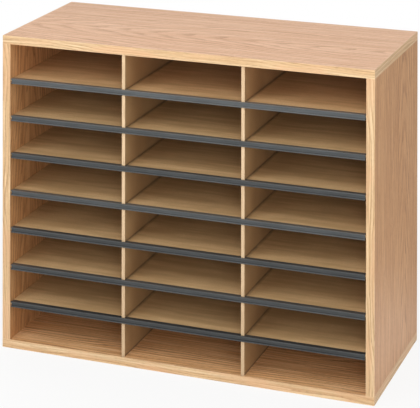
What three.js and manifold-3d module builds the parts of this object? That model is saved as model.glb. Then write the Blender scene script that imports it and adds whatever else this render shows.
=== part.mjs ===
// Pigeonhole mail sorter: a laminated board case round an egg-crate of hardboard shelves
// and fibreboard dividers, with a plastic label holder along the front edge of every shelf.
// Millimetres, +Z up. The open front faces -Y, and +X is to the right as one faces it.
// The origin is the middle of the footprint, on the surface that the sorter stands on.

import * as THREE from 'three';
import { mergeVertices } from 'three/addons/utils/BufferGeometryUtils.js';
import Module from 'manifold-3d';

const wasm = await Module();
wasm.setup();

// Case boards, and the edge band glued to their cut edges
const caseWidth = 736.6;
const caseDepth = 304.8;
const caseHeight = 596.9;
const boardThickness = 15.9;
const bandThickness = 0.8;
const glueLine = 0.1;

// Back panel, captured in a groove that runs round all four boards
const backThickness = 3.2;
const backInset = 9.5;
const backGrooveDepth = 6;

// Egg-crate: shelves and dividers are half-lapped, and their ends stand in housings in the boards
const columns = 3;
const rows = 8;
const shelfThickness = 4;
const dividerThickness = 6.4;
const housingDepth = 5;
const housingFit = 0.25;
const lapFit = 0.3;

// Label holder: a plastic extrusion with a label pocket in front and two legs that grip the shelf
const holderHeight = 10.2;
const holderRise = 1.9;
const lipThickness = 1.1;
const lipReach = 1.4;
const flangeThickness = 1;
const labelGap = 1.2;
const webThickness = 1.3;
const legThickness = 1.1;
const legLength = 8;
const legTaper = 0.5;
const holderRound = 0.4;
const roundSteps = 3;
const gripFit = 0.1;
const holderEndGap = 2;

// Fluted dowels, three in a row in each corner of the case
const dowelDiameter = 8;
const dowelLength = 30;
const dowelDepthInBoard = 11;
const dowelsPerCorner = 3;
const dowelFromEdge = 40;
const dowelFlutes = 12;
const fluteDepth = 0.3;
const dowelChamfer = 1;
const dowelFit = 0.15;
const dowelEndRoom = 0.5;
const holeSides = 32;

// Planes and clear sizes that follow from the driving dimensions
const frontY = -caseDepth / 2;
const rearY = caseDepth / 2;
const coreFrontY = frontY + bandThickness + glueLine;
const backRearY = rearY - backInset;
const backFrontY = backRearY - backThickness;
const innerHalfWidth = caseWidth / 2 - boardThickness;
const innerBottomZ = boardThickness;
const innerTopZ = caseHeight - boardThickness;
const holderDepth = lipThickness + labelGap + webThickness;
const crateFrontY = frontY + holderDepth + gripFit;
const crateRearY = backFrontY - housingFit;
const lapY = (crateFrontY + crateRearY) / 2;
const compartmentWidth = (2 * innerHalfWidth - (columns - 1) * dividerThickness) / columns;
const compartmentHeight = (innerTopZ - innerBottomZ - (rows - 1) * shelfThickness) / rows;
const shelfPitch = compartmentHeight + shelfThickness;
const dividerPitch = compartmentWidth + dividerThickness;

// Centre height of a shelf, counted from 1 at the top
function shelfCentreZ(number) {
  return innerTopZ - number * shelfPitch + shelfThickness / 2;
}

// Centre of a divider, counted from 1 at the left
function dividerCentreX(number) {
  return -innerHalfWidth + number * dividerPitch - dividerThickness / 2;
}

const shelfNumbers = Array.from({ length: rows - 1 }, (_, index) => index + 1);
const dividerNumbers = Array.from({ length: columns - 1 }, (_, index) => index + 1);

// Finishes
const oakLaminate = { color: 0xd9b08a, roughness: 0.5, metalness: 0 };
const oakBand = { color: 0xf2d3a5, roughness: 0.45, metalness: 0 };
const hardboard = { color: 0xa9865c, roughness: 0.75, metalness: 0 };
const fibreboard = { color: 0xd8b98c, roughness: 0.7, metalness: 0 };
const blackPlastic = { color: 0x3a3a3c, roughness: 0.4, metalness: 0 };
const beech = { color: 0xd9b382, roughness: 0.65, metalness: 0 };

const sorter = new THREE.Group();

// Adds one piece of the sorter as a mesh of its own, with its own material
function addPiece(name, geometry, finish) {
  const mesh = new THREE.Mesh(geometry, new THREE.MeshStandardMaterial(finish));
  mesh.name = name;
  sorter.add(mesh);
  return mesh;
}

// Rectangular block between two opposite corners
function block(low, high) {
  const size = high.map((value, axis) => value - low[axis]);
  const geometry = new THREE.BoxGeometry(...size);
  geometry.translate(...low.map((value, axis) => value + size[axis] / 2));
  return geometry;
}

// Closed outline through a list of corner points
function outline(points) {
  return new THREE.Shape(points.map(([across, up]) => new THREE.Vector2(across, up)));
}

// Outline drawn on the X and Z axes, drawn out along Y between two planes
function alongY(shape, startY, endY) {
  const geometry = new THREE.ExtrudeGeometry(shape, { depth: endY - startY, bevelEnabled: false });
  geometry.rotateX(Math.PI / 2);
  geometry.translate(0, endY, 0);
  return geometry;
}

// Outline drawn on the Y and Z axes, drawn out along X between two planes
function alongX(shape, startX, endX) {
  const geometry = new THREE.ExtrudeGeometry(shape, {
    depth: endX - startX,
    bevelEnabled: false,
    curveSegments: roundSteps,
  });
  geometry.rotateX(Math.PI / 2);
  geometry.rotateZ(Math.PI / 2);
  geometry.translate(startX, 0, 0);
  return geometry;
}

// Closed solid from a geometry, with its shared corners merged
function toSolid(geometry) {
  const bare = geometry.index ? geometry.toNonIndexed() : geometry.clone();
  bare.deleteAttribute('normal');
  bare.deleteAttribute('uv');
  const merged = mergeVertices(bare, 1e-4);
  const vertProperties = new Float32Array(merged.attributes.position.array);
  const triVerts = new Uint32Array(merged.index.array);
  return new wasm.Manifold(new wasm.Mesh({ numProp: 3, vertProperties, triVerts }));
}

// Geometry with the given cutters taken away
function cut(geometry, cutters) {
  let solid = toSolid(geometry);
  for (const cutter of cutters) {
    solid = solid.subtract(toSolid(cutter));
  }
  const { vertProperties, triVerts } = solid.getMesh();
  const result = new THREE.BufferGeometry();
  result.setAttribute('position', new THREE.BufferAttribute(vertProperties, 3));
  result.setIndex(new THREE.BufferAttribute(triVerts, 1));
  result.computeVertexNormals();
  return result;
}

// Corner dowels: X of the two side boards, and Y of the dowels along each corner
const dowelXs = [-1, 1].map((side) => side * (caseWidth / 2 - boardThickness / 2));
const dowelSpacing = (caseDepth - 2 * dowelFromEdge) / (dowelsPerCorner - 1);
const dowelYs = Array.from(
  { length: dowelsPerCorner },
  (_, index) => frontY + dowelFromEdge + index * dowelSpacing,
);

// Upright round hole for a dowel, between two heights
function dowelHole(x, y, startZ, endZ) {
  const radius = dowelDiameter / 2 + dowelFit;
  const geometry = new THREE.CylinderGeometry(radius, radius, endZ - startZ, holeSides);
  geometry.rotateX(Math.PI / 2);
  geometry.translate(x, y, (startZ + endZ) / 2);
  return geometry;
}

// Top and bottom boards: they run over the side boards' ends, with a housing for each divider
// sawn from front to back in the inner face, a stopped groove for the back and blind dowel holes
function levelBoard(inward) {
  const outerZ = inward < 0 ? caseHeight : 0;
  const innerZ = outerZ + inward * boardThickness;
  const housingZ = innerZ - inward * housingDepth;
  const coreHalfWidth = caseWidth / 2 - bandThickness - glueLine;
  const housingHalfWidth = dividerThickness / 2 + housingFit;
  const points = [[-coreHalfWidth, outerZ], [-coreHalfWidth, innerZ]];
  for (const number of dividerNumbers) {
    const x = dividerCentreX(number);
    points.push([x - housingHalfWidth, innerZ], [x - housingHalfWidth, housingZ]);
    points.push([x + housingHalfWidth, housingZ], [x + housingHalfWidth, innerZ]);
  }
  points.push([coreHalfWidth, innerZ], [coreHalfWidth, outerZ]);
  const grooveHalfLength = innerHalfWidth + backGrooveDepth;
  const grooveFloorZ = innerZ - inward * backGrooveDepth;
  const clearOfFaceZ = innerZ + inward;
  const groove = block(
    [-grooveHalfLength, backFrontY - housingFit, Math.min(grooveFloorZ, clearOfFaceZ)],
    [grooveHalfLength, backRearY + housingFit, Math.max(grooveFloorZ, clearOfFaceZ)],
  );
  const holeFloorZ = innerZ - inward * (dowelDepthInBoard + dowelEndRoom);
  const holes = dowelXs.flatMap((x) => dowelYs.map((y) => dowelHole(
    x,
    y,
    Math.min(holeFloorZ, clearOfFaceZ),
    Math.max(holeFloorZ, clearOfFaceZ),
  )));
  return cut(alongY(outline(points), coreFrontY, rearY), [groove, ...holes]);
}

addPiece('bottom_panel', levelBoard(1), oakLaminate);
addPiece('top_panel', levelBoard(-1), oakLaminate);

// Side boards: between the top and bottom, with a housing for each shelf sawn from front to back
// in the inner face, the groove for the back over the whole height, and dowel holes in both ends
const sideBottomZ = innerBottomZ + glueLine;
const sideTopZ = innerTopZ - glueLine;

function sideBoard(side) {
  const outerX = side * caseWidth / 2;
  const innerX = side * innerHalfWidth;
  const housingX = innerX + side * housingDepth;
  const housingHalfHeight = shelfThickness / 2 + housingFit;
  const points = [[outerX, sideTopZ], [innerX, sideTopZ]];
  for (const number of shelfNumbers) {
    const z = shelfCentreZ(number);
    points.push([innerX, z + housingHalfHeight], [housingX, z + housingHalfHeight]);
    points.push([housingX, z - housingHalfHeight], [innerX, z - housingHalfHeight]);
  }
  points.push([innerX, sideBottomZ], [outerX, sideBottomZ]);
  const grooveFloorX = innerX + side * backGrooveDepth;
  const clearOfFaceX = innerX - side;
  const groove = block(
    [Math.min(grooveFloorX, clearOfFaceX), backFrontY - housingFit, 0],
    [Math.max(grooveFloorX, clearOfFaceX), backRearY + housingFit, caseHeight],
  );
  const dowelX = dowelXs[side < 0 ? 0 : 1];
  const holeDepth = dowelLength - dowelDepthInBoard + dowelEndRoom;
  const holes = dowelYs.flatMap((y) => [
    dowelHole(dowelX, y, 0, innerBottomZ + holeDepth),
    dowelHole(dowelX, y, innerTopZ - holeDepth, caseHeight),
  ]);
  return cut(alongY(outline(points), coreFrontY, rearY), [groove, ...holes]);
}

addPiece('left_side_panel', sideBoard(-1), oakLaminate);
addPiece('right_side_panel', sideBoard(1), oakLaminate);

// Edge band over the front edges, and over the ends of the top and bottom that show at the sides
const bandBackY = frontY + bandThickness;
const levelBands = [['bottom', 0], ['top', innerTopZ]];

for (const [level, lowZ] of levelBands) {
  const highZ = lowZ + boardThickness;
  addPiece(
    `${level}_front_band`,
    block([-caseWidth / 2, frontY, lowZ], [caseWidth / 2, bandBackY, highZ]),
    oakBand,
  );
  addPiece(
    `${level}_left_end_band`,
    block([-caseWidth / 2, coreFrontY, lowZ], [-caseWidth / 2 + bandThickness, rearY, highZ]),
    oakBand,
  );
  addPiece(
    `${level}_right_end_band`,
    block([caseWidth / 2 - bandThickness, coreFrontY, lowZ], [caseWidth / 2, rearY, highZ]),
    oakBand,
  );
}
addPiece(
  'left_front_band',
  block([-caseWidth / 2, frontY, sideBottomZ], [-innerHalfWidth, bandBackY, sideTopZ]),
  oakBand,
);
addPiece(
  'right_front_band',
  block([innerHalfWidth, frontY, sideBottomZ], [caseWidth / 2, bandBackY, sideTopZ]),
  oakBand,
);

// Corner dowels: straight flutes let the glue out, and both ends are chamfered
function dowel(x, y, middleZ) {
  const radius = dowelDiameter / 2;
  const points = Array.from({ length: 2 * dowelFlutes }, (_, index) => {
    const angle = (index * Math.PI) / dowelFlutes;
    const reach = index % 2 ? radius - fluteDepth : radius;
    return [reach * Math.cos(angle), reach * Math.sin(angle)];
  });
  const geometry = new THREE.ExtrudeGeometry(outline(points), {
    depth: dowelLength - 2 * dowelChamfer,
    bevelThickness: dowelChamfer,
    bevelSize: dowelChamfer,
    bevelOffset: -dowelChamfer,
    bevelSegments: 1,
  });
  geometry.translate(x, y, middleZ - dowelLength / 2 + dowelChamfer);
  return geometry;
}

const dowelMiddleFromJoint = dowelLength / 2 - dowelDepthInBoard;
const dowelHeights = [
  ['bottom', innerBottomZ + dowelMiddleFromJoint],
  ['top', innerTopZ - dowelMiddleFromJoint],
];

for (const [level, middleZ] of dowelHeights) {
  ['left', 'right'].forEach((side, sideIndex) => {
    dowelYs.forEach((y, index) => {
      addPiece(`${level}_${side}_dowel_${index + 1}`, dowel(dowelXs[sideIndex], y, middleZ), beech);
    });
  });
}

// Back panel: its edges stand in the groove round the case
const backReach = backGrooveDepth - housingFit;
addPiece(
  'back_panel',
  block(
    [-innerHalfWidth - backReach, backFrontY, innerBottomZ - backReach],
    [innerHalfWidth + backReach, backRearY, innerTopZ + backReach],
  ),
  hardboard,
);

// Dividers: upright sheets, slotted from the front to half their depth for the shelves.
// Each slot has a wider mouth that lets the legs of the label holder through.
const housedReach = housingDepth - housingFit;
const slotHalfHeight = shelfThickness / 2 + lapFit;
const mouthHalfHeight = shelfThickness / 2 + gripFit + legThickness + lapFit;
const mouthY = crateFrontY - gripFit + legLength + lapFit;
const dividerSlotY = lapY + lapFit / 2;

function divider(number) {
  const bottomZ = innerBottomZ - housedReach;
  const topZ = innerTopZ + housedReach;
  const points = [[crateRearY, bottomZ], [crateRearY, topZ], [crateFrontY, topZ]];
  for (const shelf of shelfNumbers) {
    const z = shelfCentreZ(shelf);
    points.push([crateFrontY, z + mouthHalfHeight], [mouthY, z + mouthHalfHeight]);
    points.push([mouthY, z + slotHalfHeight], [dividerSlotY, z + slotHalfHeight]);
    points.push([dividerSlotY, z - slotHalfHeight], [mouthY, z - slotHalfHeight]);
    points.push([mouthY, z - mouthHalfHeight], [crateFrontY, z - mouthHalfHeight]);
  }
  points.push([crateFrontY, bottomZ]);
  const x = dividerCentreX(number);
  return alongX(outline(points), x - dividerThickness / 2, x + dividerThickness / 2);
}

for (const number of dividerNumbers) {
  addPiece(`divider_${number}`, divider(number), fibreboard);
}

// Shelves: full-width sheets, slotted from the back to half their depth for the dividers.
// Their ends stand in the housings of the side boards.
const shelfHalfWidth = innerHalfWidth + housedReach;
const shelfSlotY = lapY - lapFit / 2;
const shelfSlotHalfWidth = dividerThickness / 2 + lapFit;

function shelf(number) {
  const points = [[shelfHalfWidth, crateRearY], [shelfHalfWidth, crateFrontY]];
  points.push([-shelfHalfWidth, crateFrontY], [-shelfHalfWidth, crateRearY]);
  for (const slot of dividerNumbers) {
    const x = dividerCentreX(slot);
    points.push([x - shelfSlotHalfWidth, crateRearY], [x - shelfSlotHalfWidth, shelfSlotY]);
    points.push([x + shelfSlotHalfWidth, shelfSlotY], [x + shelfSlotHalfWidth, crateRearY]);
  }
  const geometry = new THREE.ExtrudeGeometry(outline(points), {
    depth: shelfThickness,
    bevelEnabled: false,
  });
  geometry.translate(0, 0, shelfCentreZ(number) - shelfThickness / 2);
  return geometry;
}

for (const number of shelfNumbers) {
  addPiece(`shelf_${number}`, shelf(number), hardboard);
}

// Outline through corners given as across, up and the radius of the corner, 0 where it is sharp
function roundedOutline(corners) {
  const shape = new THREE.Shape();
  corners.forEach(([across, up, radius], index) => {
    const corner = new THREE.Vector2(across, up);
    const [before, after] = [-1, 1].map((step) => {
      const neighbour = corners[(index + step + corners.length) % corners.length];
      const towards = new THREE.Vector2(neighbour[0], neighbour[1]).sub(corner).normalize();
      return towards.multiplyScalar(radius).add(corner);
    });
    if (index === 0) {
      shape.moveTo(before.x, before.y);
    } else {
      shape.lineTo(before.x, before.y);
    }
    if (radius > 0) {
      shape.quadraticCurveTo(corner.x, corner.y, after.x, after.y);
    }
  });
  shape.closePath();
  return shape;
}

// Label holders: one extruded section in plastic. Two lips hold a paper label against the web,
// and the legs behind the web grip the front edge of the shelf, with tapered tips to start them.
// The shelf sits in the upper half of the section, so that the top edge stands little above it.
function holderSection(shelfZ) {
  const topZ = shelfZ + shelfThickness / 2 + holderRise;
  const bottomZ = topZ - holderHeight;
  const pocketY = frontY + lipThickness;
  const webFrontY = pocketY + labelGap;
  const webBackY = frontY + holderDepth;
  const tipY = webBackY + legLength;
  const legInner = shelfThickness / 2 + gripFit;
  const legOuter = legInner + legThickness;
  const round = Math.min(holderRound, lipThickness / 2.5);
  const lippedEdge = (edgeZ, inward) => [
    [webFrontY, edgeZ + inward * flangeThickness, 0],
    [pocketY, edgeZ + inward * flangeThickness, 0],
    [pocketY, edgeZ + inward * (flangeThickness + lipReach), round],
    [frontY, edgeZ + inward * (flangeThickness + lipReach), round],
    [frontY, edgeZ, round],
    [webBackY, edgeZ, round],
  ];
  const leg = (side) => [
    [webBackY, shelfZ + side * legOuter, 0],
    [tipY, shelfZ + side * legOuter, 0],
    [tipY, shelfZ + side * (legInner + legTaper), 0],
    [tipY - legTaper, shelfZ + side * legInner, 0],
    [webBackY, shelfZ + side * legInner, 0],
  ];
  return roundedOutline([
    ...lippedEdge(topZ, -1),
    ...leg(1),
    ...leg(-1).reverse(),
    ...lippedEdge(bottomZ, 1).reverse(),
  ]);
}

const holderHalfLength = innerHalfWidth - holderEndGap;

for (const number of shelfNumbers) {
  addPiece(
    `label_holder_${number}`,
    alongX(holderSection(shelfCentreZ(number)), -holderHalfLength, holderHalfLength),
    blackPlastic,
  );
}

export default sorter;
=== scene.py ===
# Pigeonhole mail sorter: three columns of eight letter holes in an oak-grain case.
import math

import bpy
from mathutils import Matrix, Vector


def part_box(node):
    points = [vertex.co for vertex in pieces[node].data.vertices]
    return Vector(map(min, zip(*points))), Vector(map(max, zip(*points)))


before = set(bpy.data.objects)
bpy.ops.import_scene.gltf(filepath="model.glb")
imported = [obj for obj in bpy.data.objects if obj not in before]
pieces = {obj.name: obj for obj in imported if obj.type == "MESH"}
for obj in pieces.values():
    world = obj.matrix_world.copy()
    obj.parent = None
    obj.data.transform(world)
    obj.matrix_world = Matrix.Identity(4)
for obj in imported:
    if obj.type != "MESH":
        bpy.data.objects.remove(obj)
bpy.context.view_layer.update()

# Case boards: top, bottom and two sides, of 15.9 mm chipboard pressed between two sheets of oak-grain
# laminate. The side boards stand between top and bottom on dowels, with a housing sawn for each shelf.
# The rear edges carry no band, so the chips of the core show there between the two sheets.
MM = 0.001
laminate_sheet = 0.7 * MM
board_arris = 0.35 * MM
board_rub = 5 * MM
pore_depth = 0.05 * MM
chip_relief = 0.3 * MM
raw_edge_roughness = 0.85


def paint(red, green, blue):
    """A colour as seen on screen, 0 to 255 each, as the linear colour that a shader takes."""
    shares = [value / 255 for value in (red, green, blue)]
    linear = [s / 12.92 if s < 0.04045 else ((s + 0.055) / 1.055) ** 2.4 for s in shares]
    return (*linear, 1)


class Finish:
    """A procedural finish: each method adds one step to it and gives back that step's result."""

    def __init__(self, name):
        self.material = bpy.data.materials.new(name)
        self.material.use_nodes = True
        self.tree = self.material.node_tree
        self.shader = self.tree.nodes["Principled BSDF"]
        spot = self.tree.nodes.new("ShaderNodeTexCoord")
        self.place = spot.outputs["Object"]
        self.normal = spot.outputs["Normal"]
        self.axes = self.split(self.place)

    def add(self, kind, inputs, **settings):
        """One node, with each of its inputs linked to an earlier result or set to a value."""
        step = self.tree.nodes.new(kind)
        for setting, value in settings.items():
            setattr(step, setting, value)
        for socket, value in inputs.items():
            if isinstance(value, bpy.types.NodeSocket):
                self.tree.links.new(value, step.inputs[socket])
            else:
                step.inputs[socket].default_value = value
        return step

    def split(self, vector):
        return self.add("ShaderNodeSeparateXYZ", {0: vector}).outputs[:]

    def calc(self, kind, first, second=0.0, third=0.0):
        return self.add("ShaderNodeMath", {0: first, 1: second, 2: third}, operation=kind).outputs[0]

    def noise(self, cell, detail=2.0, roughness=0.5, start=(0, 0, 0)):
        """Cloudy noise from 0 to 1, with cells of that size along X, Y and Z."""
        stretch = [1 / side for side in cell]
        sockets = {0: self.place, 1: stretch, 2: start}
        cells = self.add("ShaderNodeVectorMath", sockets, operation="MULTIPLY_ADD").outputs[0]
        settings = {"Vector": cells, "Scale": 1.0, "Detail": detail, "Roughness": roughness}
        return self.add("ShaderNodeTexNoise", settings).outputs[0]

    def band(self, value, low, high, start=0.0, end=1.0):
        """Takes low to high onto start to end, and holds the ends beyond."""
        limits = {0: value, 1: low, 2: high, 3: start, 4: end}
        return self.add("ShaderNodeMapRange", limits, interpolation_type="SMOOTHSTEP").outputs[0]

    def blend(self, share, first, second, kind="MIX"):
        """Two colours, with that share of the second."""
        sockets = {0: share, 6: first, 7: second}
        return self.add("ShaderNodeMix", sockets, data_type="RGBA", blend_type=kind).outputs[2]

    def relief(self, height, depth, below=None):
        """The shading of a raised surface, or of a sunk one where depth is less than 0."""
        sockets = {"Height": height, "Distance": depth, "Strength": 1.0}
        if below:
            sockets["Normal"] = below
        return self.add("ShaderNodeBump", sockets).outputs[0]

    def edge_rub(self, low, high, width):
        """1 along the edges of a board between two corners, fading out unevenly over that width."""
        inside = []
        for axis in range(3):
            centre = (low[axis] + high[axis]) / 2
            half = (high[axis] - low[axis]) / 2
            off = self.calc("ABSOLUTE", self.calc("SUBTRACT", self.axes[axis], centre))
            inside.append(self.calc("SUBTRACT", half, off))
        near = self.calc("MINIMUM", inside[0], inside[1])
        far = self.calc("MAXIMUM", inside[0], inside[1])
        to_edge = self.calc("MAXIMUM", near, self.calc("MINIMUM", far, inside[2]))
        patch = self.noise((35 * MM, 35 * MM, 35 * MM), detail=4)
        reach = self.band(patch, 0.35, 0.75, 0.15 * width, width)
        return self.band(self.calc("DIVIDE", to_edge, reach), 0.0, 1.0, 1.0, 0.0)

    def wear(self, colour=None, roughness=None, normal=None):
        """Puts the results on the surface itself."""
        for socket, value in (("Base Color", colour), ("Roughness", roughness), ("Normal", normal)):
            if value is not None:
                self.tree.links.new(value, self.shader.inputs[socket])
        return self.material


def oak_figure(finish, along, across, heart, depth, slope, ring, seed):
    """Flat-sawn oak: the porous line that starts each yearly ring, the pores in it, and the streaks and
    fine fibres along the grain, 0 to 1 each. heart is where the middle of the log lies across the board,
    depth how far below the face it is, slope how it tilts along the board, ring how thick a year is."""

    def cells(length, width):
        sides = [width] * 3
        sides[along] = length
        return sides

    start = (seed, seed * 0.7, seed * 1.3)
    sway = finish.noise(cells(330 * MM, 70 * MM), detail=2, start=start)
    ripple = finish.noise(cells(70 * MM, 7 * MM), detail=3, start=start)
    aside = finish.calc("SUBTRACT", finish.axes[across], heart)
    aside = finish.calc("MULTIPLY_ADD", finish.calc("SUBTRACT", sway, 0.5), 50 * MM, aside)
    below = finish.calc("MULTIPLY_ADD", finish.axes[along], slope, depth)
    squares = finish.calc("MULTIPLY_ADD", aside, aside, finish.calc("MULTIPLY", below, below))
    radius = finish.calc("SQRT", squares)
    radius = finish.calc("MULTIPLY_ADD", finish.calc("SUBTRACT", ripple, 0.5), 0.8 * ring, radius)
    year = finish.calc("FRACT", finish.calc("DIVIDE", radius, ring))
    early = finish.calc("MULTIPLY", finish.band(year, 0.0, 0.08), finish.band(year, 0.08, 0.62, 1.0, 0.0))
    good_year = finish.noise(cells(800 * MM, 2.2 * ring), detail=2, start=start)
    early = finish.calc("MULTIPLY", early, finish.band(good_year, 0.32, 0.62, 0.2, 1.0))
    dash = finish.noise(cells(8 * MM, 0.5 * MM), detail=1, start=start)
    crowding = finish.calc("MULTIPLY_ADD", early, 0.7, 0.3)
    pores = finish.calc("MULTIPLY", finish.band(dash, 0.54, 0.66), crowding)
    streak = finish.noise(cells(240 * MM, 5 * MM), detail=3, roughness=0.6, start=start)
    fibre = finish.noise(cells(90 * MM, 1.5 * MM), detail=3, roughness=0.6, start=start)
    return early, pores, streak, fibre


def oak_colour(finish, figure, pale, warm, brown, dark):
    early, pores, streak, fibre = figure
    colour = finish.blend(finish.band(streak, 0.36, 0.64), pale, warm)
    colour = finish.blend(finish.band(fibre, 0.42, 0.72, 0.0, 0.6), colour, brown)
    colour = finish.blend(finish.calc("MULTIPLY", early, 0.68), colour, brown)
    return finish.blend(finish.calc("MULTIPLY", pores, 0.65), colour, dark)


def chipboard(finish):
    """Raw edge of chipboard: pale and brown chips lying along the board, with gaps between."""
    chip = finish.noise((3.5 * MM, 3.5 * MM, 1.1 * MM), detail=3, roughness=0.7)
    fleck = finish.noise((1.3 * MM, 1.3 * MM, 0.6 * MM), detail=2)
    colour = finish.blend(finish.band(chip, 0.35, 0.65), paint(176, 140, 98), paint(226, 196, 150))
    colour = finish.blend(finish.band(fleck, 0.62, 0.72), colour, paint(120, 84, 52))
    return colour, finish.calc("SUBTRACT", chip, finish.band(fleck, 0.6, 0.75))


def board_finish(name, along, across, thick, heart, depth, slope, ring, seed, colours):
    low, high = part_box(name)
    finish = Finish(name + "_oak")
    figure = oak_figure(finish, along, across, heart, depth, slope, ring, seed)
    _, pores, _, fibre = figure
    face = oak_colour(finish, figure, *colours)
    rub = finish.edge_rub(low, high, board_rub)
    face = finish.blend(finish.calc("MULTIPLY", rub, 0.3), face, colours[0])
    core, chips = chipboard(finish)
    middle = (low[thick] + high[thick]) / 2
    half = (high[thick] - low[thick]) / 2
    off = finish.calc("ABSOLUTE", finish.calc("SUBTRACT", finish.axes[thick], middle))
    sheet = finish.calc("GREATER_THAN", off, half - laminate_sheet)
    colour = finish.blend(sheet, core, face)
    gloss = finish.band(fibre, 0.2, 0.8, 0.42, 0.54)
    gloss = finish.calc("MULTIPLY_ADD", pores, 0.15, gloss)
    gloss = finish.calc("MULTIPLY_ADD", rub, -0.08, gloss)
    bare = finish.calc("SUBTRACT", 1.0, sheet)
    roughness = finish.calc("MULTIPLY_ADD", sheet, gloss, finish.calc("MULTIPLY", bare, raw_edge_roughness))
    grain = finish.relief(finish.calc("MULTIPLY", finish.calc("ADD", pores, fibre), sheet), -pore_depth)
    normal = finish.relief(finish.calc("MULTIPLY", chips, bare), chip_relief, grain)
    return finish.wear(colour, roughness, normal)


def soften(piece, arris):
    """Takes the sharp edges off a sawn or moulded piece."""
    piece.modifiers.new("joined_faces", "WELD").merge_threshold = 0.001 * MM
    flat = piece.modifiers.new("whole_faces", "DECIMATE")
    flat.decimate_type = "DISSOLVE"
    flat.angle_limit = math.radians(0.5)
    edge = piece.modifiers.new("arris", "BEVEL")
    edge.width = arris
    edge.segments = 2
    edge.limit_method = "ANGLE"
    edge.angle_limit = math.radians(40)
    edge.miter_outer = "MITER_ARC"
    piece.modifiers.new("even_shading", "WEIGHTED_NORMAL")


def dress(name, material, arris=None):
    piece = pieces[name]
    piece.data.materials.clear()
    piece.data.materials.append(material)
    if arris:
        soften(piece, arris)


X, Y, Z = 0, 1, 2
boards = {
    "bottom_panel": {
        "along": X, "across": Y, "thick": Z, "seed": 3.0,
        "heart": 60 * MM, "depth": 50 * MM, "slope": 0.07, "ring": 8 * MM,
        "colours": (paint(255, 211, 160), paint(236, 182, 124), paint(166, 108, 60), paint(100, 60, 32)),
    },
    "left_side_panel": {
        "along": Z, "across": Y, "thick": X, "seed": 11.0,
        "heart": -70 * MM, "depth": 40 * MM, "slope": 0.09, "ring": 6 * MM,
        "colours": (paint(224, 174, 122), paint(200, 146, 96), paint(158, 106, 62), paint(104, 66, 36)),
    },
    "right_side_panel": {
        "along": Z, "across": Y, "thick": X, "seed": 23.0,
        "heart": 52 * MM, "depth": 20 * MM, "slope": 0.10, "ring": 7 * MM,
        "colours": (paint(216, 164, 111), paint(197, 142, 88), paint(161, 107, 60), paint(108, 70, 40)),
    },
    "top_panel": {
        "along": X, "across": Y, "thick": Z, "seed": 37.0,
        "heart": -34 * MM, "depth": 60 * MM, "slope": -0.11, "ring": 7 * MM,
        "colours": (paint(243, 200, 165), paint(228, 178, 139), paint(188, 136, 97), paint(140, 94, 62)),
    },
}
for board, cut in boards.items():
    dress(board, board_finish(board, **cut), board_arris)

# Edge bands: 0.8 mm strips of pale oak veneer, ironed on to the front edges of all four boards and to
# the ends of top and bottom, trimmed flush and lightly sanded. The grain runs along each strip.
band_arris = 0.2 * MM
band_rub = 3 * MM
band_ring = 4.5 * MM
band_heart = 30 * MM
band_depth = 20 * MM
band_slope = 0.05
band_pore_depth = 0.04 * MM


def band_finish(name, along, across, seed):
    low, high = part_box(name)
    finish = Finish(name + "_veneer")
    heart = low[across] - band_heart
    figure = oak_figure(finish, along, across, heart, band_depth, band_slope, band_ring, seed)
    _, pores, _, fibre = figure
    colours = (paint(236, 207, 164), paint(219, 182, 135), paint(178, 133, 91), paint(132, 92, 58))
    colour = oak_colour(finish, figure, *colours)
    long_patch = [25 * MM] * 3
    long_patch[along] = 110 * MM
    patch = finish.noise(long_patch, detail=2, start=(seed, 2 * seed, seed))
    colour = finish.blend(finish.band(patch, 0.45, 0.65, 0.0, 0.5), colour, paint(224, 176, 134))
    rub = finish.edge_rub(low, high, band_rub)
    colour = finish.blend(finish.calc("MULTIPLY", rub, 0.25), colour, colours[0])
    roughness = finish.band(fibre, 0.2, 0.8, 0.45, 0.6)
    normal = finish.relief(finish.calc("ADD", pores, fibre), -band_pore_depth)
    return finish.wear(colour, roughness, normal)


band_runs = {
    "bottom_front_band": (X, Z), "bottom_left_end_band": (Y, Z), "bottom_right_end_band": (Y, Z),
    "left_front_band": (Z, X), "right_front_band": (Z, X),
    "top_front_band": (X, Z), "top_left_end_band": (Y, Z), "top_right_end_band": (Y, Z),
}
for number, (strip, (along, across)) in enumerate(band_runs.items()):
    dress(strip, band_finish(strip, along, across, 4.0 + 9 * number), band_arris)

# Corner dowels: fluted beech pins, 8 by 30 mm, glued upright into the side boards and into top and
# bottom, three to each corner of the case. Nothing of them shows once the case is closed.
dowel_wood = Finish("beech_dowel")
fibre = dowel_wood.noise((0.6 * MM, 0.6 * MM, 14 * MM), detail=3)
fleck = dowel_wood.noise((0.35 * MM, 0.35 * MM, 2.2 * MM), detail=1)
colour = dowel_wood.blend(dowel_wood.band(fibre, 0.3, 0.7), paint(228, 190, 146), paint(206, 162, 116))
colour = dowel_wood.blend(dowel_wood.band(fleck, 0.6, 0.7, 0.0, 0.6), colour, paint(160, 112, 74))
dowel_wood.wear(colour, dowel_wood.band(fibre, 0.2, 0.8, 0.6, 0.75), dowel_wood.relief(fibre, -pore_depth))
for name in pieces:
    if "_dowel_" in name:
        dress(name, dowel_wood.material)

# Back: a 3.2 mm sheet of hardboard, slid into a groove round the four boards before the last is closed.
# Its smooth face looks into the holes, and its rear face has the weave of the screen it was pressed on.
screen_pitch = 1.4 * MM
screen_depth = 0.12 * MM
pulp_relief = 0.03 * MM
sheet_arris = 0.25 * MM
sheet_rub = 4 * MM
# Painted shade: how far the dark corner shade reaches beside each divider, and its dark colour, also used
# for the shade over the shelves on the dividers.
corner_shade_reach = 7 * MM
contact_shade = paint(46, 30, 18)


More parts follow.
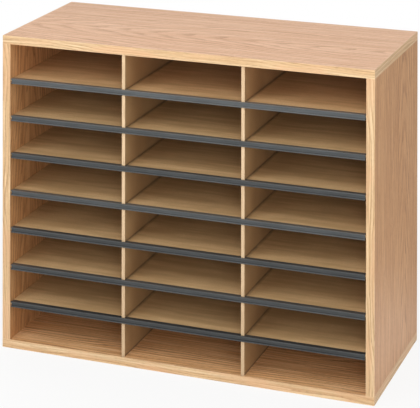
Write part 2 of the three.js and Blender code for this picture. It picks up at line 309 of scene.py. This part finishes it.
def hardboard_finish(name, rough_axis, rough_side, smooth, dark, rough, rough_dark, seed):
    """Hardboard: one face smooth, faintly streaked and with painted shade along the dividers, the other
    screened, with painted shade in the hollows of its weave.
    """
    low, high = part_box(name)
    finish = Finish(name + "_hardboard")
    start = (seed, seed * 0.4, seed * 1.9)
    cloud = finish.noise((70 * MM, 70 * MM, 70 * MM), detail=3, start=start)
    mottle = finish.noise((3 * MM, 3 * MM, 3 * MM), detail=4, roughness=0.65, start=start)
    streak = finish.noise((170 * MM, 18 * MM, 18 * MM), detail=3, roughness=0.6, start=start)
    fibre = finish.noise((0.5 * MM, 0.5 * MM, 0.5 * MM), detail=2, start=start)
    side = finish.calc("MULTIPLY", finish.split(finish.normal)[rough_axis], rough_side)
    pressed = finish.band(side, 0.4, 0.6)
    polished = finish.calc("SUBTRACT", 1.0, pressed)
    ground = finish.blend(pressed, smooth, rough)
    shade = finish.blend(pressed, dark, rough_dark)
    colour = finish.blend(finish.band(cloud, 0.3, 0.7, 0.0, 0.45), ground, shade)
    colour = finish.blend(finish.band(mottle, 0.35, 0.7, 0.0, 0.4), colour, shade)
    streak = finish.calc("MULTIPLY", finish.band(streak, 0.38, 0.64, 0.0, 0.95), polished)
    colour = finish.blend(streak, colour, shade)
    colour = finish.blend(finish.band(fibre, 0.6, 0.75, 0.0, 0.35), colour, paint(92, 66, 42))
    rub = finish.edge_rub(low, high, sheet_rub)
    colour = finish.blend(finish.calc("MULTIPLY", rub, 0.3), colour, paint(205, 176, 134))
    turns = 2 * math.pi / screen_pitch
    sheet_axes = [axis for axis in (X, Y, Z) if axis != rough_axis]
    wires = [finish.calc("SINE", finish.calc("MULTIPLY", finish.axes[axis], turns)) for axis in sheet_axes]
    weave = finish.calc("MULTIPLY", finish.calc("MULTIPLY", *wires), pressed)
    # Painted shade in the hollows of the screen weave.
    weave_shade = finish.calc("MULTIPLY", finish.band(weave, 0.0, 0.9), 0.4)
    colour = finish.blend(weave_shade, colour, paint(92, 76, 60))
    # Painted shade along the foot of each divider, on the smooth face only.
    for divider in ("divider_1", "divider_2"):
        left, right = [corner[X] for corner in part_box(divider)]
        half = (right - left) / 2
        off = finish.calc("ABSOLUTE", finish.calc("SUBTRACT", finish.axes[X], (left + right) / 2))
        corner_shade = finish.band(off, half, half + corner_shade_reach, 0.35, 0.0)
        colour = finish.blend(finish.calc("MULTIPLY", corner_shade, polished), colour, contact_shade)
    gloss = finish.band(mottle, 0.2, 0.8, 0.5, 0.64)
    roughness = finish.calc("MULTIPLY_ADD", pressed, 0.22, gloss)
    pulp = finish.relief(finish.calc("ADD", fibre, mottle), pulp_relief)
    normal = finish.relief(weave, -screen_depth, pulp)
    return finish.wear(colour, roughness, normal)


back_colours = (paint(188, 168, 144), paint(168, 148, 124), paint(182, 146, 104), paint(154, 120, 82))
back_sheet = hardboard_finish("back_panel", Y, 1.0, *back_colours, 3.0)
dress("back_panel", back_sheet, sheet_arris)

# Dividers: two upright sheets of 6.4 mm fibreboard, slotted from the front for the shelves. The broad
# faces are sanded brown, and the front edges are sawn, so they show the pale inside of the sheet, with
# painted shade that darkens them a little low down. Painted shade darkens the joint over each shelf.
pale_edge = 1.0 * MM
edge_shade_height = 400 * MM
joint_line = 5.5 * MM
fuzz_relief = 0.06 * MM
lowest_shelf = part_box("shelf_7")[1][Z]
shelf_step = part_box("shelf_6")[1][Z] - lowest_shelf


def fibreboard_finish(name, seed):
    low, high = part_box(name)
    finish = Finish(name + "_fibreboard")
    start = (seed, seed * 2.1, seed * 0.3)
    cloud = finish.noise((60 * MM, 60 * MM, 90 * MM), detail=3, start=start)
    fuzz = finish.noise((0.8 * MM, 0.8 * MM, 1.6 * MM), detail=3, roughness=0.6, start=start)
    saw = finish.noise((2.0 * MM, 2.0 * MM, 26 * MM), detail=2, start=start)
    face = finish.blend(finish.band(cloud, 0.3, 0.7), paint(182, 146, 102), paint(170, 134, 92))
    face = finish.blend(finish.band(fuzz, 0.4, 0.75, 0.0, 0.5), face, paint(142, 108, 70))
    edge = finish.blend(finish.band(saw, 0.35, 0.7), paint(224, 195, 158), paint(208, 178, 140))
    edge = finish.blend(finish.band(fuzz, 0.5, 0.8, 0.0, 0.3), edge, paint(180, 142, 98))
    # Painted shade: the front edge is darker towards the bottom.
    edge = finish.blend(finish.band(finish.axes[Z], 0, edge_shade_height, 0.4, 0.0), edge, paint(174, 144, 108))
    front = finish.calc("LESS_THAN", finish.axes[Y], low[Y] + pale_edge)
    colour = finish.blend(front, face, edge)
    rub = finish.edge_rub(low, high, sheet_rub)
    colour = finish.blend(finish.calc("MULTIPLY", rub, 0.35), colour, paint(220, 190, 148))
    # Painted shade over each shelf, along the joint with the divider.
    above_shelf = finish.calc("SUBTRACT", finish.axes[Z], lowest_shelf)
    above_shelf = finish.calc("FLOORED_MODULO", above_shelf, shelf_step)
    joint_shade = finish.band(above_shelf, 0.4 * MM, joint_line, 0.5, 0.0)
    joint_shade = finish.calc("MULTIPLY", joint_shade, finish.calc("SUBTRACT", 1.0, front))
    colour = finish.blend(joint_shade, colour, contact_shade)
    roughness = finish.band(fuzz, 0.2, 0.8, 0.62, 0.8)
    return finish.wear(colour, roughness, finish.relief(fuzz, fuzz_relief))


for number in (1, 2):
    name = f"divider_{number}"
    dress(name, fibreboard_finish(name, 9.0 * number), sheet_arris)

# Shelves: seven full-width sheets of 4 mm hardboard, slotted from the rear, dropped over the dividers
# and housed in the side boards. The smooth face is up, and the screen face is down.
shelf_colours = (paint(225, 190, 141), paint(198, 163, 116), paint(204, 176, 140), paint(180, 152, 118))
for number in range(1, 8):
    name = f"shelf_{number}"
    sheet = hardboard_finish(name, Z, -1.0, *shelf_colours, 6.0 * number)
    dress(name, sheet, sheet_arris)

# Label holders: lengths of black vinyl extrusion pushed on to the front edge of each shelf, with two
# lips that hold a paper strip. The die leaves fine lines along them, and the lips are rubbed grey in front.
# A painted sheen turns the upper ones a paler grey, and a painted highlight lightens their upward faces.
rubbed_depth = 0.6 * MM
die_line_relief = 0.03 * MM
# Painted sheen for each holder, from the top row down.
painted_sheens = (0.8, 0.45, 0.2, 0.45, 0.1, 0.2, 0.0)


def vinyl_finish(name, painted_sheen, seed):
    low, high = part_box(name)
    finish = Finish(name + "_vinyl")
    start = (seed, seed * 0.8, seed * 1.1)
    die_lines = finish.noise((500 * MM, 0.5 * MM, 0.5 * MM), detail=2, start=start)
    haze = finish.noise((70 * MM, 8 * MM, 8 * MM), detail=4, start=start)
    scuff = finish.noise((9 * MM, 1.2 * MM, 1.2 * MM), detail=3, roughness=0.7, start=start)
    colour = finish.blend(finish.band(haze, 0.3, 0.7), paint(50, 52, 53), paint(60, 62, 63))
    # Painted sheen: a paler grey, as strong as the row's share.
    colour = finish.blend(finish.band(haze, 0.2, 0.7, 0.5 * painted_sheen, painted_sheen), colour, paint(94, 98, 100))
    # Painted highlight on the upward faces of the lips.
    lip_highlight = finish.band(finish.split(finish.normal)[Z], 0.6, 0.8, 0.0, painted_sheen)
    colour = finish.blend(lip_highlight, colour, paint(122, 112, 100))
    front = finish.band(finish.axes[Y], low[Y], low[Y] + rubbed_depth, 1.0, 0.0)
    rubbed = finish.calc("MULTIPLY", front, finish.band(scuff, 0.35, 0.75, 0.0, 0.35))
    colour = finish.blend(rubbed, colour, paint(92, 93, 92))
    roughness = finish.band(haze, 0.3, 0.7, 0.3, 0.42)
    roughness = finish.calc("MULTIPLY_ADD", rubbed, 0.12, roughness)
    return finish.wear(colour, roughness, finish.relief(die_lines, die_line_relief))


for number, painted_sheen in enumerate(painted_sheens, start=1):
    name = f"label_holder_{number}"
    dress(name, vinyl_finish(name, painted_sheen, 4.0 * number))

# Studio floor: a wide sheet of matt white paper under the case, with its far edge lost in the white
# room. It takes the shadow of the case and looks white to the camera. In reflections its strip at the
# right is bright close to the case and darker behind it, so the right side changes tone with its height.
paper_reach = 6.0
paper_tooth = 4 * MM
tooth_relief = 0.1 * MM
shadow_reach = 0.5
white_reach = 1.3
white_share = 0.86
strip_start = 0.35
strip_full = 0.45
bright_end = 0.1
dark_start = 0.6
bright_gain = 0.8
dark_loss = 0.36
paper = bpy.data.meshes.new("studio_floor")
corners = [(-paper_reach, -paper_reach, 0), (paper_reach, -paper_reach, 0),
           (paper_reach, paper_reach, 0), (-paper_reach, paper_reach, 0)]
paper.from_pydata(corners, [], [(0, 1, 2, 3)])
floor = bpy.data.objects.new("studio_floor", paper)
bpy.context.scene.collection.objects.link(floor)
white = Finish("studio_paper")
seen = white.tree.nodes.new("ShaderNodeLightPath")
looked_at = white.calc("MAXIMUM", seen.outputs["Is Camera Ray"], seen.outputs["Is Glossy Ray"])
looked_at = white.calc("MAXIMUM", looked_at, seen.outputs["Is Transmission Ray"])
tooth = white.noise((paper_tooth, paper_tooth, paper_tooth), detail=3)
sheet_colour = white.blend(tooth, paint(233, 232, 230), paint(238, 237, 235))
white.wear(sheet_colour, None, white.relief(tooth, tooth_relief))
white.shader.inputs["Roughness"].default_value = 0.9
white.shader.inputs["Specular IOR Level"].default_value = 0.1
beside = white.band(white.axes[X], strip_start, strip_full)
mirrored = white.calc("MULTIPLY", beside, seen.outputs["Is Glossy Ray"])
change = white.band(white.axes[Y], bright_end, dark_start, bright_gain, -dark_loss)
brightness = white.calc("MULTIPLY_ADD", mirrored, change, 1.0)
glow = white.add("ShaderNodeEmission", {"Color": (1, 1, 1, 1), "Strength": brightness})
reach = white.add("ShaderNodeVectorMath", {0: white.place}, operation="LENGTH").outputs["Value"]
share = white.calc("MULTIPLY", looked_at, white.band(reach, shadow_reach, white_reach, white_share, 1.0))
lit = white.add("ShaderNodeMixShader", {0: share, 1: white.shader.outputs[0], 2: glow.outputs[0]})
white.tree.links.new(lit.outputs[0], white.tree.nodes["Material Output"].inputs["Surface"])
paper.materials.append(white.material)

# Studio light: a large soft lamp in front, two nearer ones at the left and high in front, weak ones over
# the case and at its right, one low behind it for its back, and a pale room all round, which is white to
# the camera. Each lamp has its bearing and height in degrees, distance and width in metres, and watts.
lamps = {
    "front_lamp": (24, 12, 3.4, 1.8, 31.5),
    "left_lamp": (-30, 27, 1.9, 1.1, 7.5),
    "high_lamp": (14, 48, 1.9, 1.1, 9.0),
    "top_lamp": (0, 89, 3.0, 1.8, 10.5),
    "right_lamp": (80, 20, 3.4, 1.8, 12.0),
    "rear_lamp": (236, 5, 3.4, 1.8, 24.0),
}
aim = Vector((0, 0, 0.3))
for lamp, (bearing, height, distance, width, watts) in lamps.items():
    bearing, height = math.radians(bearing), math.radians(height)
    level = math.cos(height)
    away = Vector((math.sin(bearing) * level, -math.cos(bearing) * level, math.sin(height)))
    light = bpy.data.lights.new(lamp, "AREA")
    light.shape = "DISK"
    light.size = width
    light.energy = watts
    holder = bpy.data.objects.new(lamp, light)
    holder.location = aim + away * distance
    holder.rotation_euler = (-away).to_track_quat("-Z", "Y").to_euler()
    bpy.context.scene.collection.objects.link(holder)

room_light = 0.44
room = bpy.data.worlds.new("white_room")
room.use_nodes = True
bpy.context.scene.world = room
nodes, links = room.node_tree.nodes, room.node_tree.links
path = nodes.new("ShaderNodeLightPath")
seen_white = path.outputs["Is Camera Ray"]
for ray in ("Is Glossy Ray", "Is Transmission Ray"):
    either = nodes.new("ShaderNodeMath")
    either.operation = "MAXIMUM"
    links.new(seen_white, either.inputs[0])
    links.new(path.outputs[ray], either.inputs[1])
    seen_white = either.outputs[0]
strength = nodes.new("ShaderNodeMapRange")
strength.inputs["To Min"].default_value = room_light
links.new(seen_white, strength.inputs["Value"])
links.new(strength.outputs[0], nodes["Background"].inputs["Strength"])
nodes["Background"].inputs["Color"].default_value = (1, 1, 1, 1)

# Camera: the picture keeps all uprights parallel, as a view camera with a raised back does. The lens
# looks level from the front right, and the slanted line of sight carries the picture down to the case.
picture_width = 420
picture_height = 408
sensor_width = 36.0
turn = math.radians(19.928)
tilt = math.radians(0.452)
roll = math.radians(-0.102)
focal_pixels = 1788.055
sight_centre = (240.546, -384.129)
eye = Vector((1.21985, -3.20404, 1.42593))
back = Vector((math.sin(turn) * math.cos(tilt), -math.cos(turn) * math.cos(tilt), math.sin(tilt)))
level_right = Vector((math.cos(turn), math.sin(turn), 0))
level_up = back.cross(level_right)
right = math.cos(roll) * level_right - math.sin(roll) * level_up
up = math.sin(roll) * level_right + math.cos(roll) * level_up
off_right = (picture_width / 2 - sight_centre[0]) / focal_pixels
off_down = (picture_height / 2 - sight_centre[1]) / focal_pixels
sight = -back + right * off_right - up * off_down
camera_data = bpy.data.cameras.new("camera")
camera_data.sensor_width = sensor_width
camera_data.lens = focal_pixels * sight.length * sensor_width / picture_width
camera = bpy.data.objects.new("camera", camera_data)
stand = bpy.data.objects.new("camera_stand", None)
for part in (camera, stand):
    bpy.context.scene.collection.objects.link(part)
slant = Matrix((right, up, -sight.normalized())).transposed().to_4x4()
slant.translation = eye
camera.parent = stand
camera.matrix_parent_inverse = slant
bpy.context.scene.camera = camera
bpy.context.scene.view_settings.view_transform = "Standard"
